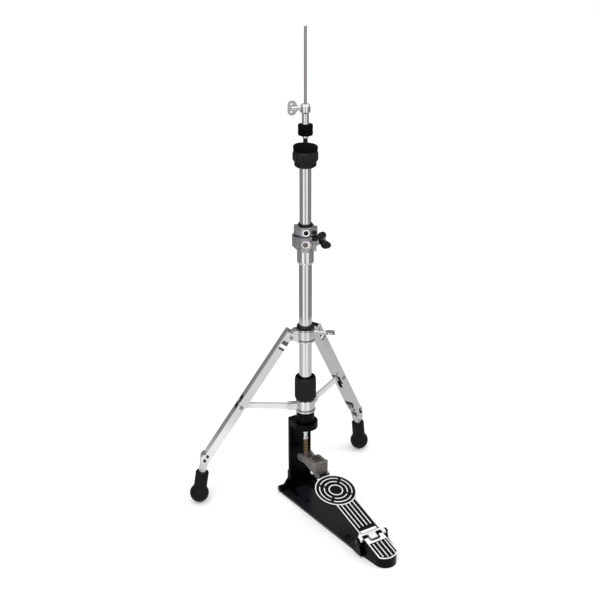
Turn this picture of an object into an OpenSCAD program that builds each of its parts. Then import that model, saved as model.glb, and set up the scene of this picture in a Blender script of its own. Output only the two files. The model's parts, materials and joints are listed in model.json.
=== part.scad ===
// Two-legged hi-hat stand with a direct-drive pedal. Millimetres, +Z up.
// The origin is on the pole's axis at the floor; the heel end of the pedal points to -Y.

/* [Pull rod] */
// Diameter of the pull rod
rod_d = 6; // [5.6:0.1:6.2]
// Height of the pull rod's top end
rod_top = 1088.5; // [1060:1:1140]
// Height at which the clutch bottom nut stands on the seat spigot
clutch_z = 861; // [861:1:870]

/* [Tubes] */
// Outside diameter of the upper tube
upper_d = 25.4; // [25:0.1:25.5]
// Outside diameter of the lower tube
lower_d = 28.6; // [28.4:0.1:28.8]
// Height of the upper tube's top end, under the cymbal seat
upper_top = 806; // [806:0.5:807]
// Height of the top face of the height clamp
clamp_top = 647; // [645:0.5:647]

/* [Cymbal seat] */
// Radius of the lower felt of the cymbal seat
seat_r = 26.1; // [24:0.1:28]
// Tilt of the seat felt
seat_tilt = 2; // [0:0.5:2]
// Radius of the clutch felts
felt_r = 15.7; // [13:0.1:18]

/* [Tripod] */
// Angle of each leg away from the +Y direction, seen from above
leg_yaw = 65.3; // [58:0.1:75]
// Angle of each leg channel from the vertical
leg_theta = 34.25; // [34:0.05:34.5]
// Length of each leg channel below its pivot
leg_len = 344; // [338:1:346]
// Width of each leg channel
leg_w = 26; // [25.5:0.1:27]
// Radius of each rubber ball foot
ball_r = 22; // [21:0.5:22]

/* [Pedal] */
// Slope of the footboard
board_slope = 13.85; // [13.8:0.05:13.9]
// Radius of the round toe end of the footboard
disc_r = 47.1; // [45:0.1:49]
// Half the width of the footboard behind its round end
board_hw = 24.4; // [23.5:0.1:25]
// Thickness of the base plate
plate_t = 5; // [4:0.5:5]

/* [Hidden] */
$fn = 64;
wing_yaw = -32.34;          // the clamp's and clutch's screws lie on this line
pivot_r = 33;  pivot_z = 412;     // leg pivot on the hub
brace_r = 36;  brace_z = 235;     // brace pivot on the lower collar
rivet_l = 202.75;                 // leg pivot to brace rivet, along the leg
brace_l = 111.5;                  // brace pivot to rivet
brace_a = 4.84;                   // brace angle above the horizontal at rest
hinge_y = -268; hinge_z = 36;     // heel hinge axis
board_y = -127.9; board_z = 76.2; // centre of the round end, on its top face
rod_r = rod_d/2;
bar_y = 34;                       // the crossbar under the tower
spring_top = 148; spring_bot = 108.5;
// the plane of the footboard's top face
function plane_z(y) = board_z + (y - board_y)*tan(board_slope);

chan_a = 1.7;  chan_d = 18;       // channel: angle to the pivot-rivet line, depth

// ---- helpers ----
module ring(ro, ri, z0, z1) {
  translate([0,0,z0]) difference() {
    cylinder(h=z1-z0, r=ro);
    translate([0,0,-1]) cylinder(h=z1-z0+2, r=ri);
  }
}
module post(r, z0, z1) { translate([0,0,z0]) cylinder(h=z1-z0, r=r); }
module xcyl(r, x0, x1) { translate([x0,0,0]) rotate([0,90,0]) cylinder(h=x1-x0, r=r); }
module ycyl(r, y0, y1) { translate([0,y0,0]) rotate([-90,0,0]) cylinder(h=y1-y0, r=r); }
module box(a, b) { translate(a) cube(b - a); }
module on_wing() { rotate([0,0,wing_yaw]) children(); }
// side -1 is the left leg, +1 the right; +X points outward along the leg
module at_leg(s) { rotate([0,0, 90 - s*leg_yaw]) children(); }
module leg_frame(s) { at_leg(s) translate([pivot_r,0,pivot_z]) rotate([0,-leg_theta,0]) children(); }
module brace_frame(s) { at_leg(s) translate([brace_r,0,brace_z]) rotate([0,-brace_a,0]) children(); }
module board_frame() { translate([0,board_y,board_z]) rotate([board_slope,0,0]) children(); }
// outline extruded across X, drawn in the Y-Z plane
module yz(pts, x0, x1) { translate([x0,0,0]) rotate([90,0,90]) linear_extrude(height=x1-x0) polygon(pts); }

// ---- base and tower ----
module base_plate() {
  color([0.05,0.05,0.05])
  difference() {
    linear_extrude(height=plate_t) polygon([[-49,25.2],[49,25.2],[34.4,-236],[-34.4,-236]]);
    for (x=[-1,1]) { translate([x*18,-205,-1]) cylinder(h=20,r=3.1); translate([x*18,-40,-1]) cylinder(h=20,r=3.1); }
  }
}
module base_screws() {
  color([0.1,0.1,0.1])
  {
    for (x=[-1,1], y=[-205,-40]) translate([x*18,y,0.5]) { cylinder(h=plate_t-0.5,r=3.1); translate([0,0,plate_t-0.5]) cylinder(h=1.6,r=5); }
    translate([0,bar_y,8.5]) for (s=[-1,1]) { xcyl(3.1, s>0?31:-50, s>0?50:-31); xcyl(5.5, s>0?50:-52, s>0?52:-50); }
  }
}
// the tower from above, with its two rear corners rounded
module column_outline() {
  union() {
    translate([-28.5,21.5]) square([57,6]);
    translate([-22.5,22]) square([45,11.5]);
    for (s=[-1,1]) translate([s*22.5,27.5]) circle(r=6);
  }
}
module tower_casting() {
  color([0.07,0.07,0.075])
  difference() {
    union() {
      // column, an open channel facing the pedal
      difference() {
        translate([0,0,plate_t]) linear_extrude(height=194.9-plate_t) column_outline();
        box([-24.3,15,plate_t+9],[24.3,29.3,180]);
      }
      // arm over the pull rod and its socket
      difference() {
        translate([0,0,180.1]) linear_extrude(height=14.9) union() { column_outline(); translate([-28.5,0]) square([57,22]); circle(r=28.5); }
        translate([0,0,170]) cylinder(h=40,r=5.2);
      }
      post(20.8,195,220);
      // flared foot
      yz([[-9,plate_t],[33.5,plate_t],[33.5,54],[29.3,54],[21.5,40],[21.5,plate_t+9],[-9,plate_t+5]],-28.5,-24.3);
      yz([[-9,plate_t],[33.5,plate_t],[33.5,54],[29.3,54],[21.5,40],[21.5,plate_t+9],[-9,plate_t+5]],24.3,28.5);
      rotate([90,0,0]) translate([0,0,-33.5]) linear_extrude(height=8) polygon([[-47,plate_t],[47,plate_t],[47,9],[28.5,34],[-28.5,34],[-47,9]]);
    }
    translate([0,0,198]) cylinder(h=40,r=lower_d/2);
    translate([0,0,170]) cylinder(h=40,r=5.2);
    // seat for the crossbar
    translate([0,bar_y,8.5]) xcyl(8.5,-60,60);
    box([-60,bar_y,-1],[60,60,8.5]);
  }
}
module rear_crossbar() {
  color([0.07,0.07,0.075])
  translate([0,bar_y,8.5]) difference() {
    xcyl(8.5,-50,50);
    xcyl(3.1,-51,-30); xcyl(3.1,30,51);
  }
}
// ---- heel and hinge ----
module heel_base() {
  color([0.055,0.055,0.06])
  difference() {
    intersection() {
      union() {
        linear_extrude(height=40) polygon([[-34.5,-236.2],[34.5,-236.2],[24.8,-322],[-24.8,-322]]);
        translate([0,-318,0]) cylinder(h=40,r=25);
      }
      yz([[-236.2,0],[-236.2,12],[-252,18],[-274,21],[-276.4,plane_z(-276.4)-1.7/cos(board_slope)],[-345,plane_z(-345)-1.7/cos(board_slope)],[-345,0]],-40,40);
    }
    // gap for the hinge's tongue
    yz([[-260,10],[-286.3,10],[-286.3,80],[-260,80]],-12.6,12.6);
    translate([0,hinge_y,hinge_z]) xcyl(3,-40,40);
  }
  for (s=[-1,1]) difference() {
    union() {
      translate([0,hinge_y,hinge_z]) xcyl(6.2, s>0?13:-23.6, s>0?23.6:-13);
      yz([[-272,16],[-280,16],[-280,plane_z(-280)-2],[-268,hinge_z],[-264,32]], s>0?13.2:-23.4, s>0?23.4:-13.2);
    }
    translate([0,hinge_y,hinge_z]) xcyl(3,-40,40);
  }
}
module hinge_pedestals() {
  color([0.06,0.06,0.065])
  for (s=[-1,1]) difference() {
    union() {
      translate([0,hinge_y,hinge_z]) xcyl(6.6, s>0?34.4:-38.4, s>0?38.4:-34.4);
      yz([[-262,plate_t+8],[-281,plate_t+6],[-274.6,hinge_z],[-261.4,hinge_z]], s>0?34.4:-38.4, s>0?38.4:-34.4);
      yz([[-254,plate_t],[-284,plate_t],[-281,plate_t+9],[-262,plate_t+9]], s>0?20:-38.4, s>0?38.4:-20);
    }
    translate([0,hinge_y,hinge_z]) xcyl(3, -40, 40);
    // the heel block's volume is its own
    intersection() {
      linear_extrude(height=40) polygon([[-34.5,-236.2],[34.5,-236.2],[24.8,-322],[-24.8,-322]]);
      yz([[-236.2,-1],[-236.2,12],[-252,18],[-274,21],[-276.4,40],[-345,40],[-345,-1]],-40,40);
    }
  }
}
module heel_hinge_pin() {
  color([0.85,0.85,0.86])
  translate([0,hinge_y,hinge_z]) { xcyl(3,-39,39); for (s=[-1,1]) xcyl(5, s>0?38.5:-40.4, s>0?40.4:-38.5); }
}
// outline of the heel's top face in the board's plane, u along the slope from the hinge side
module heel_outline(g) {
  difference() {
    union() {
      polygon([[-24.2+g,-161],[24.2-g,-161],[24.2-g,-200],[-24.2+g,-200]]);
      translate([0,-200]) intersection() { translate([0,14]) circle(r=33.5-g); polygon([[-24.2+g,1],[24.2-g,1],[24.2-g,-40],[-24.2+g,-40]]); }
    }
  }
}
module heel_frame() {
  color([0.8,0.8,0.82])
  board_frame() difference() {
    union() {
      translate([0,0,-1.6]) linear_extrude(height=1.6) heel_outline(0);
      // two tabs behind the hinge
      for (s=[-1,1]) box([s>0?14:-24,-171,-1.5],[s>0?24:-14,-151.5,-0.05]);
    }
    translate([0,0,-3]) linear_extrude(height=5) intersection() { heel_outline(2); polygon([[-22,-168],[40,-168],[40,-240],[-22,-240]]); }
    box([-11,-163,-3],[11,-140,3]);
  }
}
module heel_insert() {
  color([0.03,0.03,0.03])
  board_frame() translate([0,0,-1.6]) linear_extrude(height=1.3) intersection() { heel_outline(2.05); polygon([[-21.9,-168.1],[40,-168.1],[40,-240],[-21.9,-240]]); }
}
module heel_ribs() {
  color([0.9,0.9,0.9])
  board_frame() for (i=[0:3]) box([-15.6+i*10.3,[-211,-215,-215.5,-212.5][i],-0.3],[-13.5+i*10.3,-171,0.25]);
}

// ---- lower tube and height clamp ----
module lower_tube() {
  color([0.85,0.85,0.86])
  difference() {
    ring(lower_d/2, 13.1, 198, 639);
    on_wing() box([-20,-1.3,300],[-10,1.3,386]);
  }
}
module tube_sleeve() {
  color([0.85,0.85,0.86])
  rotate_extrude() polygon([[lower_d/2,582],[16.4,582],[18.4,587],[18.4,613],[lower_d/2,613]]);
}
module tube_bush() {
  color([0.04,0.04,0.04])
  rotate_extrude() polygon([[upper_d/2+0.06,639],[14.3,639],[14.3,clamp_top+0.6],[upper_d/2+0.06,clamp_top+0.6]]);
}
module clamp_body() {
  color([0.6,0.6,0.61])
  on_wing() difference() {
    union() {
      post(20.5,613,clamp_top);
      translate([0,0,616]) linear_extrude(height=clamp_top-617) polygon([[-29,10],[-29,-4.5],[-10,-22],[2,-24.6],[8.6,-21],[8.6,8],[-14,13]]);
      translate([1.4,0,632.5]) ycyl(12.4,-27,-8);
    }
    post(14.3,600,660);
    box([9,-12,600],[60,40,660]);
    box([14.2,-40,600],[60,-11,660]);
    // lower edge rises to the left
    rotate([90,0,0]) translate([0,0,-40]) linear_extrude(height=80) polygon([[-60,600],[-60,634],[-29,623],[-13,614.6],[-13,600]]);
    translate([0,0,633.5]) ycyl(6,-40,-15.6);
  }
}
module clamp_jaw() {
  color([0.6,0.6,0.61])
  on_wing() difference() {
    union() {
      intersection() { post(20.5,613,clamp_top-9); box([9.4,-11.6,600],[40,30,660]); }
      box([14.8,-16,615],[24,15,clamp_top-9]);
      clamp_bolt_line() xcyl(7.6,-2,4.6);
    }
    post(14.3,600,660);
    clamp_bolt_line() xcyl(4.3,-30,40);
    // face square to the bolt, so that the wing can turn
    clamp_bolt_line() xcyl(26,6.7,60);
  }
}
// the clamp's bolt runs back and away from the pin
module clamp_bolt_line() { translate([21,-1,629]) rotate([0,0,38]) children(); }
module clamp_hinge_pin() {
  color([0.55,0.53,0.5])
  on_wing() translate([0,0,633.5]) difference() { ycyl(6,-28.2,-15.6); translate([0,-28.8,0]) rotate([-90,0,0]) cylinder(h=2.6,r=3.2,$fn=6); }
}
module clamp_pads() {
  color([0.03,0.03,0.03])
  on_wing() for (s=[-1,1]) translate([0,0,0]) difference() {
    box([14.6,s>0?2:-14,clamp_top-8.9],[26,s>0?14:-2,clamp_top-0.6]);
    clamp_bolt_line() xcyl(26,6.7,60);
  }
}
module clamp_wing_bolt() {
  color([0.12,0.12,0.125])
  on_wing() clamp_bolt_line() rotate([-42,0,0]) union() {
    xcyl(4.0,-2,16);
    xcyl(6.2,10.4,22);
    difference() {
      // two broad ears
      union() for (m=[-1,1]) {
        translate([22,0,m*9.5]) ycyl(9.6,-2.9,2.9);
        translate([28,0,m*12.5]) ycyl(7.2,-2.6,2.6);
        box([12.6,-2.7,m>0?0:-10],[24,2.7,m>0?10:0]);
      }
      for (m=[-1,1]) translate([24,m*3.6,m*11]) ycyl(5,-1.6,1.6);
    }
  }
}

// ---- pedal drive ----
module rod_guide() {
  color([0.75,0.75,0.76])
  difference() {
    union() { post(5.2,164,198); post(6.3,164,179.8); post(4.9,152,164); post(6.1,spring_top,152); }
    post(rod_r+0.25,140,200);
  }
}
// points of a helix, and the ring of wire around each
function helix(n, turns, r, z0, z1) = [for (i=[0:n]) [r*cos(360*turns*i/n), r*sin(360*turns*i/n), z0+(z1-z0)*i/n]];
function wire_ring(p, a, wr, k, tilt) = [for (j=[0:k-1]) let(t=360*j/k) [p[0]+wr*cos(t)*cos(a)+wr*sin(t)*sin(tilt)*sin(a), p[1]+wr*cos(t)*sin(a)-wr*sin(t)*sin(tilt)*cos(a), p[2]+wr*sin(t)*cos(tilt)]];
module coil(n, turns, r, wr, z0, z1) {
  k = 8;
  pts = helix(n, turns, r, z0, z1);
  tilt = atan((z1-z0)/(2*PI*r*turns));
  v = [for (i=[0:n]) each wire_ring(pts[i], 360*turns*i/n, wr, k, tilt)];
  f = concat([[for (j=[0:k-1]) j]],
             [for (i=[0:n-1], j=[0:k-1]) [i*k+j, (i+1)*k+j, (i+1)*k+(j+1)%k, i*k+(j+1)%k]],
             [[for (j=[0:k-1]) n*k+k-1-j]]);
  polyhedron(points=v, faces=f, convexity=8);
}
module return_spring() {
  color([0.45,0.36,0.22]) coil(112, 6, 4.7, 0.95, spring_bot+0.95, spring_top-0.95);
}
module pull_rod_upper() {
  color([0.46,0.44,0.42])
  difference() {
    post(rod_r,655,rod_top);
    ring(rod_r+1,rod_r-0.3,932,933);
    ring(rod_r+1,rod_r-0.35,rod_top-9,rod_top-8);
  }
}
module pull_rod_lower() { color([0.6,0.6,0.6]) post(rod_r-0.1,112,650); }
module rod_coupler() {
  color([0.6,0.6,0.6])
  difference() { post(5.5,636,664); post(rod_r-0.1,630,650); post(rod_r,655,670); }
}
module rod_end() {
  color([0.5,0.5,0.5])
  difference() {
    union() {
      post(6.2,96,108.3);
      translate([0,0,101.5]) xcyl(2.5,-17,17);
      for (s=[-1,1]) translate([0,0,101.5]) xcyl(4, s>0?16.8:-17.8, s>0?17.8:-16.8);
      post(3.4,108,112);
    }
  }
}

// ---- footboard ----
module board_outline(g) {
  union() { circle(r=disc_r-g); polygon([[-board_hw+g,0],[board_hw-g,0],[board_hw-g,-137.6],[-board_hw+g,-137.6]]); }
}
module footboard() {
  color([0.03,0.03,0.03])
  board_frame() union() {
    translate([0,0,-4.5]) linear_extrude(height=4.5) board_outline(0);
    // toe tab, between the cheeks of the casting
    box([-9.6,40,-4.3],[9.6,56,-0.2]);
    // stiffening ribs below
    box([-17,-122,-9.5],[-14,0,-4.4]); box([14,-122,-9.5],[17,0,-4.4]);
  }
}
module arc_bar(r, w, a0, a1) {
  difference() {
    linear_extrude(height=0.5) difference() { circle(r=r+w/2); circle(r=r-w/2); }
    for (a=[a0:90:a1]) rotate([0,0,a]) box([r-4,-3.4,-1],[r+4,3.4,2]);
  }
}
module footboard_ribs() {
  color([0.92,0.92,0.92])
  board_frame() {
    linear_extrude(height=0.6) difference() { circle(r=disc_r); circle(r=disc_r-2.3); }
    arc_bar(36.8,2.2,45,315);
    arc_bar(26.3,2.2,45,315);
    linear_extrude(height=0.5) difference() { circle(r=16.6); circle(r=14.2); }
    // long bars, and the plain bar across the heel end
    translate([-board_hw,-137,0]) cube([2.2,97.4,0.6]);
    for (i=[0:3]) translate([-15.4+i*9.9,-119,0]) cube([2.1,75.6-[0,2.2,2.2,0][i],0.5]);
    box([-20,-136.4,0],[20,-129.6,0.5]);
  }
}
module hinge_eye(x0, x1) { translate([0,hinge_y,hinge_z]) xcyl(6.4,x0,x1); }
module hinge_casting() {
  color([0.85,0.85,0.86])
  difference() {
    union() {
      board_frame() {
        box([-25,-142.6,-4.4],[25,-137.8,0.3]);
        // tongue over the pin
        box([-9,-157,-2.6],[9,-140,0.15]);
        for (s=[-1,1]) translate([0,0,-4.2]) linear_extrude(height=4.35) polygon([[s*24.6,-134],[s*27,-134.6],[s*33.4,-141],[s*33.8,-148],[s*26.2,-148],[s*24.2,-141]]);
      }
      hinge_eye(-8.8,8.8);
      for (s=[-1,1]) hinge_eye(s>0?26:-34, s>0?34:-26);
    }
    translate([0,hinge_y,hinge_z]) { xcyl(3.06,-40,40); xcyl(6.7,12.3,24.1); xcyl(6.7,-24.1,-12.3); }
  }
}
module fork_cheek(x0, x1) {
  difference() {
    union() {
      yz([[-78,plane_z(-78)-5],[-79,plane_z(-79)],[-72,plane_z(-72)+0.4],[-20,plane_z(-20)+0.4],[-12,106.5],[0,109.6],[0,93.4],[-20,plane_z(-20)-6]],x0,x1);
      translate([0,0.6,101.5]) xcyl(8.1,x0,x1);
    }
    // slot for the cross pin, so that the toe's arc and the rod's straight line agree
    translate([0,0,101.5]) rotate([10.4,0,0]) { xcyl(2.95,x0-1,x1+1); translate([0,-8.9,0]) xcyl(2.95,x0-1,x1+1); box([x0-1,-8.9,-2.95],[x1+1,0,2.95]); }
  }
}
module toe_fork() {
  color([0.55,0.53,0.51])
  union() {
    fork_cheek(-16.4,-10);
    fork_cheek(10,16.4);
    difference() {
      union() {
        yz([[-70,plane_z(-70)-5.4],[-70,plane_z(-70)-0.3],[-22,plane_z(-22)-0.3],[-18,plane_z(-22)-3],[-22,plane_z(-22)-6]],-10.4,10.4);
        // tongue bolted under the round end
        board_frame() box([-9.8,8,-8.2],[9.8,66,-4.7]);
      }
      translate([0,-30,80]) cylinder(h=50,r=2.6);
    }
  }
}
module toe_stop() {
  color([0.58,0.56,0.54])
  difference() {
    union() {
      // wall facing the foot
      yz([[-69,plane_z(-69)+0.7],[-69.6,117.8],[-66,119],[-63.4,117.4],[-62,plane_z(-62)+0.7]],-16.4,16.4);
      // sides, dipping behind the wall's shoulder
      for (m=[-1,1]) yz([[-66,plane_z(-66)+0.9],[-66,117.2],[-58,116],[-48,116.6],[-34,116.4],[-28,113.2],[-19,107],[-17,plane_z(-17)+0.9]], m>0?10.2:-16.2, m>0?16.2:-10.2);
      // cover between the sides
      yz([[-65,115.6],[-65,112],[-27,102.1],[-22.4,103.4]],-11,11);
    }
    for (i=[-3:3]) translate([i*4.2,-70.6,80]) cylinder(h=50,r=1.4);
    translate([0,-30,90]) cylinder(h=40,r=2.6);
  }
}

// ---- upper column ----
module upper_tube() { color([0.85,0.85,0.86]) ring(upper_d/2, 11.5, 440, upper_top); }
module memory_lock() {
  color([0.62,0.62,0.63])
  on_wing() difference() {
    union() {
      post(19.5,648.3,668.5);
      translate([0,0,649]) linear_extrude(height=18.6) polygon([[-25,9],[-25,-4],[-9,-19],[0,-21.4],[7,-19],[7,8],[-12,12]]);
      translate([1.5,0,659]) ycyl(7.4,-24.4,-8);
      for (s=[-1,1]) box([10,s>0?2:-11,650],[26,s>0?11:-2,664]);
    }
    post(upper_d/2,600,700);
    box([10,-1.6,600],[40,1.6,700]);
    translate([1.5,0,659]) ycyl(5.2,-30,-14);
    translate([20,0,656.5]) { ycyl(3,-20,20); ycyl(4.9,-20,-11); ycyl(4.9,11,20); }
  }
}
module memory_lock_bush() {
  color([0.03,0.03,0.03])
  difference() {
    ring(15.6, upper_d/2, 668.5, 673.5);
    on_wing() for (a=[0:90:270]) rotate([0,0,a+45]) box([13.2,-2.2,670],[20,2.2,680]);
  }
}
module memory_lock_bolts() {
  color([0.15,0.15,0.15])
  on_wing() {
    translate([1.5,0,659]) ycyl(5.2,-22.6,-14);
    translate([1.5,0,659]) box([-2.3,-26.3,-2.3],[2.3,-22.5,2.3]);
    translate([20,0,656.5]) { ycyl(3,-15,15); ycyl(4.8,-15,-11); ycyl(4.8,11,15); }
  }
}
module seat_cone() {
  color([0.04,0.04,0.04])
  difference() {
    union() {
      rotate_extrude() polygon([[0,798.5],[19.5,798.5],[23.5,802],[23.5,811.6],[0,811.6]]);
      post(18,811,832.2);
      post(25.4,832.2,834.4);
    }
    post(upper_d/2,790,upper_top);
    post(rod_r+0.45,790,850);
  }
}
module tilt_ring() {
  color([0.04,0.04,0.04])
  difference() {
    rotate_extrude() polygon([[18.06,812],[25,812],[26.8,814],[26.8,829.5],[25.6,831.8],[18.06,831.8]]);
    for (i=[0:23]) rotate([0,0,i*15]) translate([28.4,0,815]) cylinder(h=14.4,r=2.9);
  }
}
module seat_felt() {
  color([0.05,0.05,0.05])
  translate([0,0,834.9]) rotate([0,0,wing_yaw]) rotate([0,seat_tilt,0])
    rotate_extrude() polygon([[6,0.9],[seat_r-0.5,0.9],[seat_r,2],[seat_r,7.4],[seat_r-1.6,9],[6,9]]);
}
module seat_spigot() {
  color([0.05,0.05,0.05])
  difference() { union() { post(4.8,834.4,clutch_z-0.3); post(5.4,834.4,838); } post(rod_r+0.3,800,900); }
}

// ---- clutch ----
module clutch_body() {
  color([0.85,0.85,0.86])
  difference() {
    union() {
      on_wing() translate([0,0,922.5]) xcyl(6.2,-12.6,0);
      rotate_extrude() polygon([[0,912.4],[8.4,912.4],[10.4,915],[10.8,922],[10.2,927.4],[7.6,931],[5.6,932],[0,932]]);
      post(7.4,891.6,915);
      post(5.4,clutch_z+5.3,892);
      post(8.6,889.4,891.6);
    }
    post(rod_r+0.05,850,940);
    on_wing() translate([0,0,922.5]) xcyl(3,-24,-3.4);
  }
}
module clutch_wing_bolt() {
  color([0.88,0.88,0.89])
  on_wing() translate([0,0,922.5]) difference() {
    union() {
      xcyl(2.94,-20,-3.6);
      xcyl(5,-20,-13.5);
      intersection() {
        union() { translate([-27.2,0,5.8]) ycyl(9.4,-2.6,2.6); translate([-27.6,0,-5.8]) ycyl(9.4,-2.6,2.6); translate([-26,0,0]) ycyl(11,-2.6,2.6); }
        box([-42,-4,-16],[-15,4,16]);
      }
      xcyl(4.4,-29,-14);
    }
    translate([-29,0,8]) ycyl(2.4,-9,9);
    translate([-29,0,-8]) ycyl(2.4,-9,9);
  }
}
module clutch_felts() {
  color([0.04,0.04,0.04])
  for (z=[clutch_z+5.3,clutch_z+16.9])
    translate([0,0,z]) rotate_extrude() polygon([[5.4,0],[felt_r-1.6,0],[felt_r-0.4,0.7],[felt_r,2.2],[felt_r,9],[felt_r-0.4,10.5],[felt_r-1.6,11.2],[5.4,11.2]]);
}
module clutch_nuts() {
  color([0.8,0.8,0.81])
  difference() { union() { post(6.6,clutch_z,clutch_z+5.3); } post(rod_r+0.05,840,900); }
}

// ---- tripod ----
module tension_grip() {
  color([0.035,0.035,0.035])
  difference() {
    rotate_extrude() polygon([[lower_d/2+0.06,253],[20.8,253],[24.1,257],[24.1,303],[22.6,308],[20.6,308],[lower_d/2+3.2,301],[lower_d/2+0.06,301]]);
    for (i=[0:23]) rotate([0,0,i*15]) translate([25.2,0,240]) cylinder(h=60,r=1.9);
  }
}
module lower_collar() {
  color([0.85,0.85,0.86])
  difference() {
    union() {
      rotate_extrude() polygon([[lower_d/2+0.06,221.2],[20.2,221.2],[23.4,223.2],[23.4,225.6],[20.6,226.4],[20.6,229.4],[21.6,230.4],[21.6,249.4],[20.6,251.2],[lower_d/2+0.06,251.2]]);
      for (s=[-1,1]) at_leg(s) for (m=[-1,1]) {
        translate([brace_r,0,brace_z]) ycyl(7.8, m>0?3.7:-6.9, m>0?6.9:-3.7);
        box([17,m>0?3.7:-6.9,brace_z-7.8],[brace_r,m>0?6.9:-3.7,brace_z+7.8]);
      }
    }
    post(lower_d/2+0.06,200,260);
    for (s=[-1,1]) at_leg(s) translate([brace_r,0,brace_z]) ycyl(2.6,-20,20);
  }
}
module collar_pins() {
  color([0.8,0.8,0.8])
  for (s=[-1,1]) at_leg(s) translate([brace_r,0,brace_z]) { ycyl(2.6,-8,8); ycyl(4.2,-9.2,-7); ycyl(4.2,7,9.2); }
}
module brace(s) {
  brace_frame(s) difference() {
    union() {
      box([0,-3.3,-6.5],[brace_l,3.3,6.5]);
      ycyl(6.5,-3.3,3.3);
      translate([brace_l,0,0]) ycyl(6.5,-3.3,3.3);
    }
    // open channel, facing down
    box([-8,-2,-8],[brace_l+8,2,5.1]);
    ycyl(2.66,-20,20);
    translate([brace_l,0,0]) ycyl(2.66,-20,20);
  }
}
module brace_left() { color([0.85,0.85,0.84]) brace(-1); }
module brace_right() { color([0.85,0.85,0.84]) brace(1); }
module hub() {
  color([0.8,0.8,0.81])
  difference() {
    union() {
      rotate_extrude() polygon([[lower_d/2+0.06,396],[18.6,396],[21.4,397.4],[21.4,400.6],[19,401.6],[19,403.4],[20.4,404.4],[20.4,425],[19.2,427.6],[lower_d/2+0.06,427.6]]);
      // two ears inside each leg's channel
      for (s=[-1,1]) at_leg(s) for (m=[-1,1])
        translate([0,m>0?10.9:-7.5,0]) rotate([90,0,0]) linear_extrude(height=3.4)
          union() { polygon([[10,400],[24,400.6],[35,405.9],[34,418.2],[25,426],[10,427.2]]); translate([pivot_r,pivot_z]) circle(r=6.6); }
      on_wing() translate([0,0,416]) xcyl(7.5,12,26);
    }
    post(lower_d/2+0.06,380,440);
    for (s=[-1,1]) at_leg(s) translate([pivot_r,0,pivot_z]) ycyl(3,-20,20);
    on_wing() translate([0,0,416]) xcyl(3.2,16,40);
  }
}
module hub_bush() {
  color([0.03,0.03,0.03])
  rotate_extrude() polygon([[lower_d/2+0.06,427.6],[18.2,427.6],[19.5,429],[19.5,433.6],[18,436.4],[lower_d/2+0.06,436.4]]);
}
module hub_pins() {
  color([0.7,0.7,0.7])
  for (s=[-1,1]) at_leg(s) translate([pivot_r,0,pivot_z]) { ycyl(3,-14.4,14.4); ycyl(5,-15.4,-13.3); ycyl(5,13.3,15.4); }
}
module hub_wing_bolt() {
  color([0.82,0.82,0.83])
  on_wing() translate([0,0,416]) rotate([-14,0,0]) difference() {
    union() {
      xcyl(3.14,17,44);
      xcyl(5,26.4,46);
      for (m=[-1,1]) intersection() { translate([55,m*9,0]) rotate([0,0,m*12]) scale([1,1,1]) post(10.5,-2.4,2.4); box([40,m>0?0:-22,-4],[66,m>0?22:0,4]); }
    }
    for (m=[-1,1]) translate([56,m*9.5,-9]) cylinder(h=18,r=3);
  }
}
// the channel lies at a small angle to the line from its pivot to its rivet
module channel_frame() { translate([0,0,-rivet_l]) rotate([0,chan_a,0]) children(); }
module leg(s) {
  t = 1.7;
  leg_frame(s) difference() {
    union() {
      // folded box, open towards the pole at the hub, at the brace and at the foot
      channel_frame() difference() {
        box([-chan_d/2,-leg_w/2,rivet_l-leg_len],[chan_d/2,leg_w/2,rivet_l+8]);
        box([-chan_d/2+t,-leg_w/2+t,rivet_l-leg_len-1],[chan_d/2-t,leg_w/2-t,rivet_l+30]);
        box([-20,-leg_w/2+t+0.15,186],[-chan_d/2+t+1,leg_w/2-t-0.15,rivet_l+32]);
        box([-20,-leg_w/2+t+0.15,-16],[-chan_d/2+t+1,leg_w/2-t-0.15,16]);
        box([-20,-4.7,-36],[-chan_d/2+t+1,4.7,-15]);
        box([-20,-leg_w/2+t+0.15,rivet_l-leg_len-2],[-chan_d/2+t+1,leg_w/2-t-0.15,-100]);
        // the top inner corners are rounded off
        translate([-chan_d/2-4,0,rivet_l+15]) ycyl(11,-20,20);
      }
      // eyes around the hub pin
      for (m=[-1,1]) ycyl(9.4, m>0?leg_w/2-t+0.2:-leg_w/2+0.2, m>0?leg_w/2-0.2:-leg_w/2+t-0.2);
    }
    ycyl(3.06,-20,20);
    translate([0,0,-rivet_l]) ycyl(2.6,-20,20);
    // window over the brace joint
    channel_frame() box([3,-8,-12],[20,8,24]);
  }
}
module leg_left() { color([0.8,0.8,0.81]) leg(-1); }
module leg_right() { color([0.8,0.8,0.81]) leg(1); }
// a short rivet in each flange, clear of the brace's end on both sides
module rivets(s) {
  leg_frame(s) for (m=[-1,1]) {
    translate([0,0,-rivet_l]) { ycyl(2.6, m>0?3.9:-leg_w/2, m>0?leg_w/2:-3.9); ycyl(4.6, m>0?leg_w/2:-leg_w/2-1.4, m>0?leg_w/2+1.4:-leg_w/2); }
  }
}
module leg_rivets_left() { color([0.6,0.6,0.6]) rivets(-1); }
module leg_rivets_right() { color([0.6,0.6,0.6]) rivets(1); }
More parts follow.
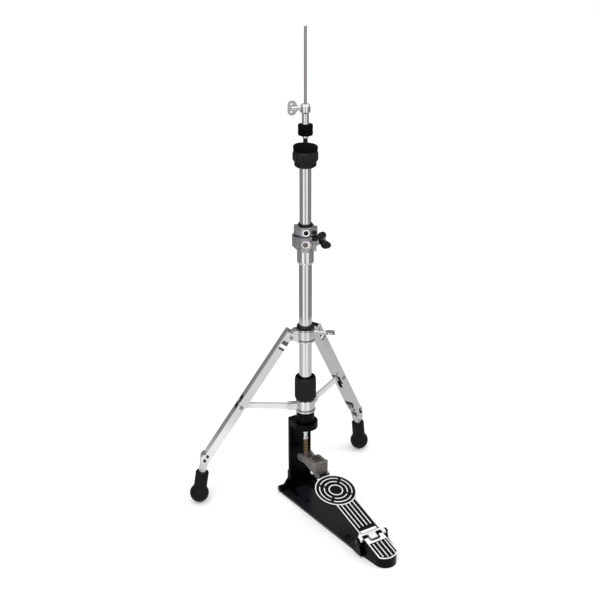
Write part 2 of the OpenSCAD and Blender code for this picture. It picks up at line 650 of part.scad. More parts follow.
// bracket and foot are drawn in the leg's upright plane, X outward
foot_x = 248.9; foot_tilt = 9;
module foot_bracket(s) {
  union() {
    leg_frame(s) channel_frame() difference() {
      translate([0,11.2,0]) rotate([90,0,0]) linear_extrude(height=22.4)
        polygon([[7,-118],[7,-142],[13,-149],[13.5,-156],[3.5,-176],[1,-181],[-13.5,-179],[-9,-161],[-8,-142],[-8,-118]]);
      translate([0,7.8,0]) rotate([90,0,0]) linear_extrude(height=15.6)
        polygon([[4.8,-110],[4.8,-143],[8.6,-150],[8.6,-155],[0,-168],[-14,-166],[-14,-110]]);
    }
    at_leg(s) translate([foot_x,0,ball_r]) rotate([0,-foot_tilt,0]) post(8.5,8,72);
  }
}
module foot_bracket_left() { color([0.78,0.78,0.79]) difference() { foot_bracket(-1); foot_screws(-1); } }
module foot_bracket_right() { color([0.78,0.78,0.79]) difference() { foot_bracket(1); foot_screws(1); } }
module foot_screws(s) {
  leg_frame(s) channel_frame() for (z=[-146,-158.5]) translate([2,0,z]) { ycyl(3.4,-13.4,-7.6); ycyl(3.4,7.6,13.4); }
}
module foot_screws_left() { color([0.12,0.12,0.12]) foot_screws(-1); }
module foot_screws_right() { color([0.12,0.12,0.12]) foot_screws(1); }
module rubber_foot(s) {
  at_leg(s) difference() {
    union() {
      translate([foot_x,0,ball_r]) sphere(r=ball_r);
      translate([foot_x,0,ball_r]) rotate([0,-foot_tilt,0]) post(15.2,4,56);
    }
    translate([foot_x,0,ball_r]) rotate([0,-foot_tilt,0]) { post(8.5,6,70); for (i=[0:3]) rotate([0,0,i*45+10]) translate([0,0,57]) xcyl(3,-20,20); }
  }
}
module rubber_foot_left() { color([0.03,0.03,0.03]) rubber_foot(-1); }
module rubber_foot_right() { color([0.03,0.03,0.03]) rubber_foot(1); }

base_plate();
base_screws();
tower_casting();
rear_crossbar();
heel_base();
hinge_pedestals();
heel_hinge_pin();
heel_frame();
heel_insert();
heel_ribs();
lower_tube();
tube_sleeve();
tube_bush();
clamp_body();
clamp_jaw();
clamp_hinge_pin();
clamp_pads();
clamp_wing_bolt();
rod_guide();
return_spring();
footboard();
footboard_ribs();
hinge_casting();
toe_fork();
toe_stop();
pull_rod_upper();
pull_rod_lower();
rod_coupler();
rod_end();
upper_tube();
memory_lock();
memory_lock_bush();
memory_lock_bolts();
seat_cone();
tilt_ring();
seat_felt();
seat_spigot();
clutch_body();
clutch_wing_bolt();
clutch_felts();
clutch_nuts();
tension_grip();
lower_collar();
collar_pins();
brace_left();
brace_right();
hub();
hub_bush();
hub_pins();
hub_wing_bolt();
leg_left();
leg_right();
leg_rivets_left();
leg_rivets_right();
foot_bracket_left();
foot_bracket_right();
foot_screws_left();
foot_screws_right();
rubber_foot_left();
rubber_foot_right();
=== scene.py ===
import bpy, bmesh, json, math
from mathutils import Vector, Matrix


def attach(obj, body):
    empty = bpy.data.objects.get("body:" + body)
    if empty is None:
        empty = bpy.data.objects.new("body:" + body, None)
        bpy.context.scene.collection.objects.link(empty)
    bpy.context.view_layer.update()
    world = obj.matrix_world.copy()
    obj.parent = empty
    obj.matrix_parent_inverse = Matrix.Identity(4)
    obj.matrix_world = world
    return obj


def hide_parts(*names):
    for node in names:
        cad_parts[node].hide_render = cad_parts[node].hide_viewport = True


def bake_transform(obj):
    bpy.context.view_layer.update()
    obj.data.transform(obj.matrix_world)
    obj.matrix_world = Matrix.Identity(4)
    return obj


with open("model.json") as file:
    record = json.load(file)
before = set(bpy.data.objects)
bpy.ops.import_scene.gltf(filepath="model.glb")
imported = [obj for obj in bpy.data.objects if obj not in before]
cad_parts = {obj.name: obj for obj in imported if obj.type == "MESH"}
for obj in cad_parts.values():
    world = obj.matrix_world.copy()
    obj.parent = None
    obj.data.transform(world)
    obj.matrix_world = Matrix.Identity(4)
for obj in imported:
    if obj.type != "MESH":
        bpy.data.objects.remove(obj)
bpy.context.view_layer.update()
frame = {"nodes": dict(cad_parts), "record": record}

NODES = frame["nodes"]
scene = bpy.context.scene
scene.view_settings.view_transform = "Standard"


# ------------------------------------------------------------------ materials
def new_mat(name):
    m = bpy.data.materials.new(name)
    m.use_nodes = True
    nt = m.node_tree
    nt.nodes.clear()
    out = nt.nodes.new("ShaderNodeOutputMaterial")
    b = nt.nodes.new("ShaderNodeBsdfPrincipled")
    nt.links.new(b.outputs[0], out.inputs[0])
    return m, nt, b


def coords(nt, scale=(1, 1, 1)):
    tc = nt.nodes.new("ShaderNodeTexCoord")
    mp = nt.nodes.new("ShaderNodeMapping")
    mp.inputs["Scale"].default_value = scale
    nt.links.new(tc.outputs["Object"], mp.inputs["Vector"])
    return mp.outputs[0]


def noise(nt, vec, scale, detail=4.0, rough=0.55):
    n = nt.nodes.new("ShaderNodeTexNoise")
    n.inputs["Scale"].default_value = scale
    n.inputs["Detail"].default_value = detail
    n.inputs["Roughness"].default_value = rough
    nt.links.new(vec, n.inputs["Vector"])
    return n.outputs["Fac"]


def ramp(nt, fac, stops):
    r = nt.nodes.new("ShaderNodeValToRGB")
    els = r.color_ramp.elements
    while len(els) < len(stops):
        els.new(0.5)
    for e, (p, c) in zip(els, stops):
        e.position = p
        e.color = (c, c, c, 1) if not hasattr(c, "__len__") else (*c, 1)
    nt.links.new(fac, r.inputs[0])
    return r.outputs[0]


def rng(nt, fac, lo, hi, a=0.3, b=0.7):
    r = nt.nodes.new("ShaderNodeMapRange")
    r.inputs["From Min"].default_value = a
    r.inputs["From Max"].default_value = b
    r.inputs["To Min"].default_value = lo
    r.inputs["To Max"].default_value = hi
    nt.links.new(fac, r.inputs["Value"])
    return r.outputs[0]


def bump(nt, b, height, strength, dist):
    n = nt.nodes.new("ShaderNodeBump")
    n.inputs["Strength"].default_value = strength
    n.inputs["Distance"].default_value = dist
    nt.links.new(height, n.inputs["Height"])
    nt.links.new(n.outputs[0], b.inputs["Normal"])
    return n


def metal(name, base, rough_lo, rough_hi, streak=(1, 1, 1), scale=60, b_str=0.03, b_dist=0.0002, tint=0.03, bscale=300, met=1.0):
    m, nt, b = new_mat(name)
    b.inputs["Metallic"].default_value = met
    v = coords(nt, streak)
    n1 = noise(nt, v, scale)
    nt.links.new(rng(nt, n1, rough_lo, rough_hi), b.inputs["Roughness"])
    n2 = noise(nt, v, scale * 0.35, 3)
    lo = tuple(max(0, c - tint) for c in base)
    hi = tuple(min(1, c + tint) for c in base)
    nt.links.new(ramp(nt, n2, [(0.3, lo), (0.7, hi)]), b.inputs["Base Color"])
    bump(nt, b, noise(nt, v, bscale, 3), b_str, b_dist)
    return m


def plastic(name, base, rough_lo, rough_hi, scale=200, b_str=0.15, b_dist=0.0002, var=0.4, spec=0.5, coat=0.0, bscale=None, sheen=0.0):
    m, nt, b = new_mat(name)
    v = coords(nt)
    n1 = noise(nt, v, scale * 0.3, 4)
    nt.links.new(rng(nt, n1, rough_lo, rough_hi), b.inputs["Roughness"])
    lo = tuple(c * (1 - var) for c in base)
    hi = tuple(c * (1 + var) for c in base)
    nt.links.new(ramp(nt, noise(nt, v, scale * 0.6, 5), [(0.32, lo), (0.68, hi)]), b.inputs["Base Color"])
    b.inputs["Specular IOR Level"].default_value = spec
    b.inputs["Coat Weight"].default_value = coat
    b.inputs["Coat Roughness"].default_value = 0.12
    b.inputs["Sheen Weight"].default_value = sheen
    bump(nt, b, noise(nt, v, bscale or scale * 5, 4, 0.65), b_str, b_dist)
    return m


M = {}
M["chrome"] = metal("m_chrome", (0.86, 0.86, 0.87), 0.035, 0.075, scale=45, b_str=0.012, tint=0.02, bscale=90)
M["chrome_tube"] = metal("m_chrome_tube", (0.86, 0.855, 0.86), 0.04, 0.08, streak=(1, 1, 0.05), scale=120, b_str=0.01, tint=0.02)
M["chrome_leg"] = metal("m_chrome_leg", (0.84, 0.84, 0.84), 0.12, 0.2, scale=70, b_str=0.03, tint=0.03, bscale=160)
M["chrome_cast"] = metal("m_chrome_cast", (0.84, 0.84, 0.845), 0.09, 0.17, scale=80, b_str=0.06, b_dist=0.0004, tint=0.03, bscale=220)
# low metallic keeps it bright under any lamp; on the lock and pin collars, the lug edge and the leg stripe that
# brightness is a painted reflection
M["bright_alloy"] = metal("m_bright_alloy", (0.88, 0.88, 0.875), 0.3, 0.42, scale=120, b_str=0.08, tint=0.03, met=0.22)
M["hinge_alloy"] = metal("m_hinge_alloy", (0.86, 0.855, 0.85), 0.24, 0.4, scale=150, b_str=0.25, b_dist=0.0004, tint=0.06, bscale=420, met=0.35)
M["grey_cast"] = metal("m_grey_cast", (0.375, 0.372, 0.385), 0.26, 0.46, scale=180, b_str=0.75, b_dist=0.0007, tint=0.13, bscale=380, met=0.78)
M["link_cast"] = metal("m_link_cast", (0.2, 0.186, 0.176), 0.3, 0.46, scale=160, b_str=0.3, b_dist=0.0005, tint=0.05, bscale=600, met=0.7)
M["satin_steel"] = metal("m_satin_steel", (0.42, 0.40, 0.385), 0.3, 0.42, streak=(1, 1, 0.03), scale=400, b_str=0.08, tint=0.03)
M["dark_rod"] = metal("m_dark_rod", (0.05, 0.048, 0.046), 0.35, 0.5, streak=(1, 1, 0.03), scale=400, b_str=0.08, tint=0.01)
M["dark_steel"] = metal("m_dark_steel", (0.035, 0.035, 0.038), 0.2, 0.34, scale=150, b_str=0.08, tint=0.012)
M["spring_steel"] = metal("m_spring", (0.62, 0.42, 0.22), 0.22, 0.36, scale=200, b_str=0.08, tint=0.06)
M["base_paint"] = plastic("m_base_paint", (0.0090, 0.0074, 0.0108), 0.26, 0.36, scale=120, b_str=0.05, b_dist=0.0002, var=0.12, spec=0.4, bscale=420)
M["black_paint"] = plastic("m_black_paint", (0.0010, 0.0010, 0.0011), 0.2, 0.32, scale=140, b_str=0.05, b_dist=0.0002, var=0.25, spec=0.08, bscale=380)
M["black_grip"] = plastic("m_black_grip", (0.0022, 0.0022, 0.0022), 0.55, 0.75, scale=300, b_str=0.45, b_dist=0.0004, var=0.4, spec=0.16, bscale=1400)
M["black_nylon"] = plastic("m_black_nylon", (0.0030, 0.0028, 0.0028), 0.36, 0.5, scale=220, b_str=0.12, var=0.3, spec=0.3, bscale=900)
M["black_felt"] = plastic("m_black_felt", (0.0022, 0.0021, 0.0022), 0.9, 1.0, scale=500, b_str=0.9, b_dist=0.0007, var=0.6, spec=0.04, bscale=1300, sheen=0.004)
M["rubber"] = plastic("m_rubber", (0.0034, 0.0034, 0.0034), 0.5, 0.7, scale=250, b_str=0.3, b_dist=0.0003, var=0.35, spec=0.2, bscale=1100)

# more diffuse than chrome, so the brace shows bright under any lamp: a painted reflection
M["brace_steel"] = metal("m_brace_steel", (0.8, 0.8, 0.79), 0.16, 0.26, streak=(1, 1, 0.3), scale=90, b_str=0.04, tint=0.02, bscale=200, met=0.55)
# dark steel for painted shade: the dark bands on the legs and the dark lines round hub and collar
M["painted_shade_steel"] = metal("m_band_steel", (0.13, 0.127, 0.12), 0.24, 0.36, scale=220, b_str=0.1, tint=0.03, bscale=500)
M["rivet_steel"] = metal("m_rivet_steel", (0.34, 0.335, 0.33), 0.2, 0.34, scale=260, b_str=0.08, tint=0.03, bscale=500)
M["pin_bronze"] = metal("m_pin_bronze", (0.30, 0.275, 0.245), 0.3, 0.42, scale=240, b_str=0.15, tint=0.04, bscale=600)
M["wing_chrome"] = metal("m_wing_chrome", (0.84, 0.84, 0.845), 0.06, 0.14, scale=140, b_str=0.55, b_dist=0.0009, tint=0.03, bscale=190)
M["hub_chrome"] = metal("m_hub_chrome", (0.82, 0.82, 0.82), 0.08, 0.16, scale=90, b_str=0.28, b_dist=0.0006, tint=0.05, bscale=150)
# lighter copies of the black grip and black nylon for the ribs: painted highlight on the rib tops
M["highlight_grip_rib"] = plastic("m_grip_rib", (0.0045, 0.0042, 0.0042), 0.45, 0.6, scale=260, b_str=0.2, var=0.3, spec=0.2, bscale=1100)
M["highlight_rib_nylon"] = plastic("m_rib_nylon", (0.012, 0.0115, 0.0115), 0.3, 0.42, scale=220, b_str=0.12, var=0.3, spec=0.75, bscale=900)

SLOT = {s["node"]: s["material_slot"] for s in frame["record"]["subparts"]}
OWN = {"chrome_tube": ("lower_tube", "upper_tube", "tube_sleeve"), "chrome_leg": ("leg_left", "leg_right"),
       "brace_steel": ("brace_left", "brace_right"), "wing_chrome": ("clutch_wing_bolt", "hub_wing_bolt"), "hub_chrome": ("hub",), "rivet_steel": ("leg_rivets_left", "leg_rivets_right"), "pin_bronze": ("clamp_hinge_pin",),
       "link_cast": ("toe_fork", "toe_stop", "rod_end"), "base_paint": ("base_plate",), "hinge_alloy": ("hinge_casting",),
       "dark_rod": ("pull_rod_lower", "rod_coupler"), "dark_steel": ("heel_hinge_pin",),
       "chrome_cast": ("lower_collar", "foot_bracket_left", "foot_bracket_right")}
OWN = {n: k for k, v in OWN.items() for n in v}
for n, o in NODES.items():
    o.data.materials.clear()
    o.data.materials.append(M[OWN.get(n, SLOT[n])])


# ------------------------------------------------------------------ helpers
def bevel(o, w, seg=2, ang=35):
    m = o.modifiers.new("bevel", "BEVEL")
    m.width = w
    m.segments = seg
    m.limit_method = "ANGLE"
    m.angle_limit = math.radians(ang)
    m.harden_normals = True
    return m


for n in ("tower_casting", "heel_base", "base_plate", "clamp_body", "clamp_jaw", "memory_lock", "hub", "lower_collar",
          "toe_fork", "toe_stop", "hinge_casting", "leg_left", "leg_right", "brace_left", "brace_right", "heel_frame"):
    if n in NODES:
        bevel(NODES[n], 0.0007 if n in ("leg_left", "leg_right", "brace_left", "brace_right") else 0.0009)


MM = 0.001


def T(x, y, z):
    return Matrix.Translation((x, y, z))


def Rt(deg_, axis):
    return Matrix.Rotation(math.radians(deg_), 4, axis)


LEG_YAW, WING = 65.3, Rt(-32.34, "Z")


def at_leg(s):
    return Rt(90 - s * LEG_YAW, "Z")


def leg_frame(s):
    return at_leg(s) @ T(33, 0, 412) @ Rt(-34.25, "Y")


def channel(s):
    return leg_frame(s) @ T(0, 0, -202.75) @ Rt(1.7, "Y")


def board():
    return T(0, -127.9, 76.2) @ Rt(13.85, "X")


def piece(name, verts, faces, mat, body, mx=None, smooth=False, bev=0.0, seg=2):
    """A mesh piece given in millimetres in the frame mx, riding on a body."""
    me = bpy.data.meshes.new(name)
    mx = mx or Matrix.Identity(4)
    me.from_pydata([(mx @ Vector(v)) * MM for v in verts], [], faces)
    me.update()
    bm = bmesh.new()
    bm.from_mesh(me)
    bmesh.ops.recalc_face_normals(bm, faces=bm.faces)
    bm.to_mesh(me)
    bm.free()
    for p_ in me.polygons:
        p_.use_smooth = smooth
    o = bpy.data.objects.new(name, me)
    scene.collection.objects.link(o)
    me.materials.append(M[mat])
    if bev:
        bevel(o, bev * MM, seg, 30)
    if body:
        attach(o, body)
    return o


def lathe(name, prof, mat, body, mx=None, n=48, bev=0.0, smooth=True):
    """prof: closed outline of (radius, height), turned about the frame's Z."""
    v, f, k = [], [], len(prof)
    for j in range(n):
        a_ = 2 * math.pi * j / n
        v += [(r * math.cos(a_), r * math.sin(a_), z) for r, z in prof]
    for j in range(n):
        for i in range(k):
            if prof[i][0] == 0 and prof[(i + 1) % k][0] == 0:
                continue
            f.append((j * k + i, j * k + (i + 1) % k, ((j + 1) % n) * k + (i + 1) % k, ((j + 1) % n) * k + i))
    o = piece(name, v, f, mat, None, mx, smooth)
    bm = bmesh.new()
    bm.from_mesh(o.data)
    bmesh.ops.remove_doubles(bm, verts=bm.verts, dist=1e-7)
    bmesh.ops.dissolve_degenerate(bm, edges=bm.edges, dist=1e-7)
    bmesh.ops.recalc_face_normals(bm, faces=bm.faces)
    bm.to_mesh(o.data)
    bm.free()
    e = o.modifiers.new("edge", "EDGE_SPLIT")
    e.split_angle = math.radians(32)
    if body:
        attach(o, body)
    return o


def prism(name, pts, z0, z1, mat, body, mx=None, bev=0.4, holes=()):
    """Outline in the frame's XY plane, between two heights."""
    n = len(pts)
    v = [(x, y, z0) for x, y in pts] + [(x, y, z1) for x, y in pts]
    f = [tuple(range(n - 1, -1, -1)), tuple(range(n, 2 * n))] + [(i, (i + 1) % n, n + (i + 1) % n, n + i) for i in range(n)]
    return piece(name, v, f, mat, body, mx, False, bev)


def rod(name, pts, r, mat, body, k=12, closed_ends=True):
    v, f = [], []
    up = Vector((0, 0, 1))
    n = len(pts)
    P = [Vector(q) for q in pts]
    for i, q in enumerate(P):
        d_ = (P[min(i + 1, n - 1)] - P[max(i - 1, 0)]).normalized()
        s_ = d_.cross(up)
        s_ = s_.normalized() if s_.length > 1e-4 else Vector((1, 0, 0))
        u_ = s_.cross(d_).normalized()
        v += [tuple(q + s_ * (r * math.cos(2 * math.pi * j / k)) + u_ * (r * math.sin(2 * math.pi * j / k))) for j in range(k)]
    for i in range(n - 1):
        f += [(i * k + j, i * k + (j + 1) % k, (i + 1) * k + (j + 1) % k, (i + 1) * k + j) for j in range(k)]
    f += [tuple(range(k - 1, -1, -1)), tuple((n - 1) * k + j for j in range(k))]
    return piece(name, v, f, mat, body, None, True)


def rrect(x0, y0, x1, y1, r, n=5):
    out = []
    for cx, cy, a0 in ((x1 - r, y1 - r, 0), (x0 + r, y1 - r, 90), (x0 + r, y0 + r, 180), (x1 - r, y0 + r, 270)):
        out += [(cx + r * math.cos(math.radians(a0 + 90 * i / n)), cy + r * math.sin(math.radians(a0 + 90 * i / n))) for i in range(n + 1)]
    return out


Y_UP = Rt(90, "X")      # turns a frame so that its Z points along -Y


def screw(name, mx, r, h, body, mat="dark_steel", hexr=None, washer=None):
    """A cap screw, head up along the frame's Z, with a socket."""
    hexr = hexr or r * 0.5
    prof = [(0, 0), (r, 0), (r, h * 0.72), (r * 0.86, h), (hexr, h), (hexr, h * 0.35), (0, h * 0.35)]
    o = lathe(name, prof, mat, body, mx, n=24)
    return o


# ------------------------------------------------------------------ pedal drive
turns, n = 6, 340
pts = []
for i in range(n + 1):
    u = i / n
    a_ = 2 * math.pi * (turns + 1.5) * u
    # closed end coils, open in between
    z = 109.5 + 37.5 * (0.035 * min(u / 0.1, 1) + 0.93 * max(0, min((u - 0.1) / 0.8, 1)) + 0.035 * max(0, (u - 0.9) / 0.1))
    pts.append((4.65 * math.cos(a_), 4.65 * math.sin(a_), z))
spring = rod("spring_coil", pts, 0.98, "spring_steel", None, k=10)
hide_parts("return_spring")
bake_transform(spring)

# ------------------------------------------------------------------ legs
for nm, s in (("left", -1), ("right", 1)):
    c = channel(s)
    for m in (-1, 1):
        # nylon cheeks the brace folds between; their black also stands in for the shade round the opening, painted
        # shade
        prism(f"brace_cheek_shade_{nm}_{'a' if m < 0 else 'b'}", rrect(-8.4, -15, 6.2, 15, 3), 3.6, 11.1, "black_nylon", f"leg_{nm}",
              c @ Rt(90 * -m, "X"), 0.5)
    # pressed bands across the near flange, under the hub, drawn as flat dark strips: painted shade
    for i, (z0, z1) in enumerate(((179.5, 188.5), (165.5, 170.5))):
        prism(f"leg_shade_band_{nm}_{i}", rrect(-8.2, z0 if s > 0 else -z1, 5.6, z1 if s > 0 else -z0, 0.8), 12.95, 13.45, "painted_shade_steel", f"leg_{nm}", c @ Rt(90 * s, "X"), 0.12)
    # bright band between them: a painted highlight
    prism(f"leg_highlight_stripe_{nm}", rrect(-8.2, 171.6 if s > 0 else -178.4, 5.6, 178.4 if s > 0 else -171.6, 0.8), 12.95, 13.45, "bright_alloy", f"leg_{nm}", c @ Rt(90 * s, "X"), 0.12)
    # black nylon plug in the channel's lower end; its black also stands in for the shade inside the open channel,
    # painted shade
    prism(f"leg_plug_shade_{nm}", rrect(-8.6, -10.9, 6.4, 10.9, 2), -117.5, -100, "black_nylon", f"leg_{nm}", c, 0.6)

# ------------------------------------------------------------------ rings of ribs
def ribs(name, n, off, r0, r1, half, z0, z1, mat, body):
    """Rounded ribs round the pole, in one mesh."""
    v, f = [], []
    for i in range(n):
        a_ = math.radians(off + 360 * i / n)
        c_, s_ = math.cos(a_), math.sin(a_)
        prof = [(r0, -half), (r1 - 0.25, -half * 0.8), (r1, -half * 0.3), (r1, half * 0.3), (r1 - 0.25, half * 0.8), (r0, half)]
        b0 = len(v)
        for z, k in ((z0, 0.4), (z0 + 0.7, 0), (z1 - 0.7, 0), (z1, 0.4)):
            v += [((r - (k if r > r0 else 0)) * c_ - t * s_, (r - (k if r > r0 else 0)) * s_ + t * c_, z) for r, t in prof]
        m = len(prof)
        for q in range(3):
            f += [(b0 + q * m + j, b0 + q * m + (j + 1) % m, b0 + (q + 1) * m + (j + 1) % m, b0 + (q + 1) * m + j) for j in range(m)]
        f += [tuple(b0 + j for j in range(m - 1, -1, -1)), tuple(b0 + 3 * m + j for j in range(m))]
    return piece(name, v, f, mat, body)


# the ribs carry the lighter rib materials, a painted highlight on their tops
ribs("tilt_ring_ribs", 24, 7.5, 25.4, 27.25, 0.72, 815.4, 829.0, "highlight_rib_nylon", "tilt_ring")
ribs("grip_ribs", 24, 7.5, 23.2, 24.45, 1.1, 258.0, 299.5, "highlight_grip_rib", "tension_grip")

# ------------------------------------------------------------------ clamp and memory lock
def ring_at(name, mx, ri, ro, h, mat, body, n=32):
    c_ = 0.3
    return lathe(name, [(ri, 0), (ro, 0), (ro, h - c_), (ro - c_, h), (ri + c_, h), (ri, h - c_)], mat, body, mx, n=n)


lock = WING @ T(1.5, -24.2, 659) @ Y_UP
# bright collar on the lock bolt: its bright low-metal finish is a painted reflection
ring_at("lock_bolt_collar", lock, 5.3, 7.5, 0.9, "bright_alloy", "upper_column")
lathe("lock_bolt_octagon", [(2.4, 0), (5.1, 0), (5.1, 1.1), (4.7, 1.5), (2.4, 1.5)], "dark_steel", "upper_column", lock @ Rt(22.5, "Z"), n=8, smooth=False)
pin = WING @ T(0, -27.2, 633.5) @ Y_UP
# bright collar on the clamp pin: its bright low-metal finish is a painted reflection
ring_at("clamp_pin_collar", pin, 6.05, 7.4, 1.0, "bright_alloy", "stand")
# black sheet under the lock, following its outline: painted shade for the dark gap between lock and clamp
def reach(pts, a_):
    """How far a ray from the origin goes before it leaves an outline."""
    d_, best = (math.cos(a_), math.sin(a_)), 0
    for (x0, y0), (x1, y1) in zip(pts, pts[1:] + pts[:1]):
        ex, ey = x1 - x0, y1 - y0
        det = d_[0] * -ey + d_[1] * ex
        if abs(det) > 1e-9:
            t_, u_ = (x0 * -ey + y0 * ex) / det, (d_[0] * y0 - d_[1] * x0) / det
            if t_ > 0 and -1e-9 <= u_ <= 1 + 1e-9:
                best = max(best, t_)
    return best


line = [(-25.9, 9.4), (-25.9, -4.5), (-9.3, -19.9), (0, -22.4), (7.9, -19.5), (7.9, 8), (-12, 12.9)]
v, f, n = [], [], 96
for j in range(n):
    a_ = 2 * math.pi * j / n
    ro = max(19.9, reach(line, a_))
    # outside bottom and top, then inside top and bottom, clear of the tube it sits round
    v += [(r * math.cos(a_), r * math.sin(a_), z) for r, z in ((ro, 647.5), (ro, 649.2), (12.85, 649.2), (12.85, 647.5))]
    k = (j + 1) % n
    f += [(j * 4 + i, k * 4 + i, k * 4 + (i + 1) % 4, j * 4 + (i + 1) % 4) for i in range(4)]
piece("lock_gap_shade", v, f, "black_nylon", "upper_column", WING)
# bright arc beside the clamp pin: a painted highlight on the curved lug's edge
arc_ = [(9.6 * math.cos(math.radians(t_)), 9.6 * math.sin(math.radians(t_))) for t_ in range(-58, 59, 8)]
arc_ += [(8.3 * math.cos(math.radians(t_)), 8.3 * math.sin(math.radians(t_))) for t_ in range(58, -59, -8)]
prism("clamp_lug_highlight", arc_, 0, 1.3, "bright_alloy", "stand", pin @ T(0, 0, -0.4), 0.25)
# clamp and lock screws
screw("lock_screw_a", WING @ T(20, -15, 656.5) @ Y_UP, 4.4, 2.2, "upper_column")
screw("lock_screw_b", WING @ T(13.5, -5.5, 668.5), 2.5, 3.2, "upper_column")
screw("lock_screw_c", WING @ T(-6, -15.5, 667.6), 2.3, 2.4, "upper_column")
# grey cap between the wing bolt's lobes; its grey stands in for the lit top of the wing's hub, a painted highlight
lathe("wing_cap_highlight", [(0, 0), (6.3, 0), (6.3, 3.4), (5.6, 4.4), (3.2, 4.8), (3.2, 3.9), (0, 3.9)], "satin_steel", "clamp_wing",
      WING @ T(21, -1, 629) @ Rt(38, "Z") @ T(21.9, 0, 0) @ Rt(90, "Y"), n=32)
# dark rings on the hub, painted shade: a line under the bush, and one round its skirt
ring_at("hub_shade_line_top", T(0, 0, 424.6), 19.8, 20.75, 1.1, "painted_shade_steel", "hub", 64)
ring_at("hub_shade_line_low", T(0, 0, 401.9), 18.6, 19.7, 1.3, "painted_shade_steel", "hub", 64)
# dark ring in the collar's groove: painted shade
ring_at("collar_shade_line", T(0, 0, 227.4), 20.2, 21.0, 1.4, "painted_shade_steel", "collar", 64)
# cap heads on the hub pins
for nm, s in (("left", -1), ("right", 1)):
    for m in (-1, 1):
        lathe(f"hub_cap_{nm}_{'a' if m < 0 else 'b'}", [(0, 0), (4.4, 0), (4.2, 0.55), (2.9, 1.0), (0, 1.15)], "rivet_steel", "hub",
              at_leg(s) @ T(33, m * 15.3, 412) @ Rt(-90 * m, "X"), n=32)

# ------------------------------------------------------------------ stage
def plane(name, size, loc, rot=(0, 0, 0), mat=None):
    bpy.ops.mesh.primitive_plane_add(size=1, location=loc, rotation=rot)
    o = bpy.context.object
    o.name = name
    o.scale = (size[0], size[1], 1)
    if mat:
        o.data.materials.append(mat)
    return o


fl, nt, b = new_mat("m_floor")
b.inputs["Base Color"].default_value = (0.92, 0.92, 0.92, 1)
b.inputs["Roughness"].default_value = 0.75
b.inputs["Specular IOR Level"].default_value = 0.2
b.inputs["Emission Color"].default_value = (1, 1, 1, 1)
b.inputs["Emission Strength"].default_value = 0.085
floor = plane("floor", (60, 60), (0, 0, -0.0005), mat=fl)

w = bpy.data.worlds.new("world")
scene.world = w
w.use_nodes = True
bg = w.node_tree.nodes["Background"]
bg.inputs[0].default_value = (1, 1, 1, 1)
bg.inputs[1].default_value = 1.0


# Studio flags: a ring of cards and a floor card, which only polished surfaces see.
# Each carries its brightness as a colour attribute, by its direction round the pole.
FRONT = math.radians(-122.34)


def interp(t, pts):
    for (a, va), (b_, vb) in zip(pts, pts[1:]):
        if t <= b_:
            k = (t - a) / (b_ - a)
            k = k * k * (3 - 2 * k)
            return va + (vb - va) * k
    return pts[-1][1]


WALL = [(-180, .235), (-56, .235), (-49, .28), (-44, 1.0), (-25, 1.12), (-17, .62), (-9, .44), (5, .42), (14, .72), (24, .93), (44, .9),
        (50, .25), (60, .235), (180, .235)]
FLOOR = [(-180, .54), (-60, .54), (-46, .72), (-38, .98), (-20, 1.0), (-10, .76), (8, .74), (18, .9), (44, .92), (55, .54), (180, .54)]


def deg(a):
    a = math.degrees(a - FRONT)
    return (a + 180) % 360 - 180


def emit_mat(name):
    m = bpy.data.materials.new(name)
    m.use_nodes = True
    nt = m.node_tree
    nt.nodes.clear()
    out = nt.nodes.new("ShaderNodeOutputMaterial")
    em = nt.nodes.new("ShaderNodeEmission")
    at = nt.nodes.new("ShaderNodeAttribute")
    at.attribute_name = "glow"
    nt.links.new(at.outputs["Color"], em.inputs["Color"])
    nt.links.new(em.outputs[0], out.inputs[0])
    return m


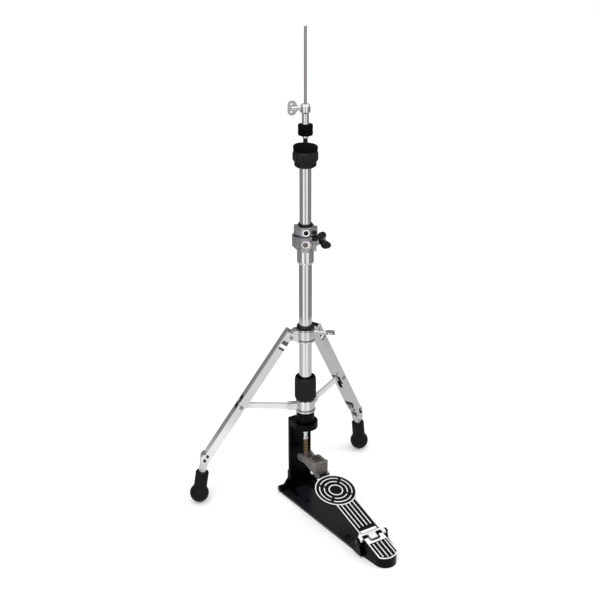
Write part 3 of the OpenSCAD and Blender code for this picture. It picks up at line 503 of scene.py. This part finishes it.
def card(name, rows, n, place, value):
    bm = bmesh.new()
    grid = [[bm.verts.new(place(i, 2 * math.pi * j / n)) for j in range(n)] for i in range(rows)]
    for i in range(rows - 1):
        for j in range(n):
            bm.faces.new((grid[i][j], grid[i][(j + 1) % n], grid[i + 1][(j + 1) % n], grid[i + 1][j]))
    me = bpy.data.meshes.new(name)
    bm.to_mesh(me)
    bm.free()
    at = me.color_attributes.new("glow", "FLOAT_COLOR", "POINT")
    k = 0
    for i in range(rows):
        for j in range(n):
            v = value(i, 2 * math.pi * j / n)
            at.data[k].color = (v, v * 0.995, v * 0.985, 1)
            k += 1
    o = bpy.data.objects.new(name, me)
    scene.collection.objects.link(o)
    me.materials.append(emit_mat("m_" + name))
    o.visible_camera = o.visible_diffuse = o.visible_shadow = o.visible_transmission = False
    return o


RW = 1.02
card("card_ring", 7, 240, lambda i, a: (RW * math.cos(a), RW * math.sin(a), [0, .1, .3, .6, 1.0, 1.4, 1.7][i]),
     lambda i, a: interp(deg(a), WALL) * [1, 1, 1, 1.02, 1.1, 1.3, 1.6][i])
card("card_floor", 5, 240, lambda i, a: ([.02, .2, .5, .8, RW][i] * math.cos(a), [.02, .2, .5, .8, RW][i] * math.sin(a), -0.0002),
     lambda i, a: interp(deg(a), FLOOR) * [1.0, 1.0, 1.0, .97, .9][i])


def area(name, loc, target, size, power, col=(1, 1, 1)):
    l = bpy.data.lights.new(name, "AREA")
    l.shape = "RECTANGLE"
    l.size, l.size_y = size
    l.energy = power
    l.color = col
    o = bpy.data.objects.new(name, l)
    scene.collection.objects.link(o)
    o.location = loc
    o.rotation_mode = "QUATERNION"
    o.rotation_quaternion = (Vector(target) - Vector(loc)).to_track_quat("-Z", "Y")
    return o


area("key", (-2.2, -1.6, 2.8), (0, 0, 0.4), (1.6, 1.6), 40)
area("fill", (2.4, -1.4, 2.0), (0, 0, 0.4), (1.2, 1.8), 22)

# ------------------------------------------------------------------ camera
fwd = Vector((0.49216, 0.77741, -0.39167))
cam = bpy.data.cameras.new("camera")
co = bpy.data.objects.new("camera", cam)
scene.collection.objects.link(co)
co.location = (-1.2383, -1.9560, 1.4899)
co.rotation_mode = "QUATERNION"
co.rotation_quaternion = fwd.to_track_quat("-Z", "Y")
cam.sensor_width = 36
cam.lens = 68.93
cam.shift_x, cam.shift_y = -0.0090, -0.0067
cam.dof.use_dof = False
scene.camera = co
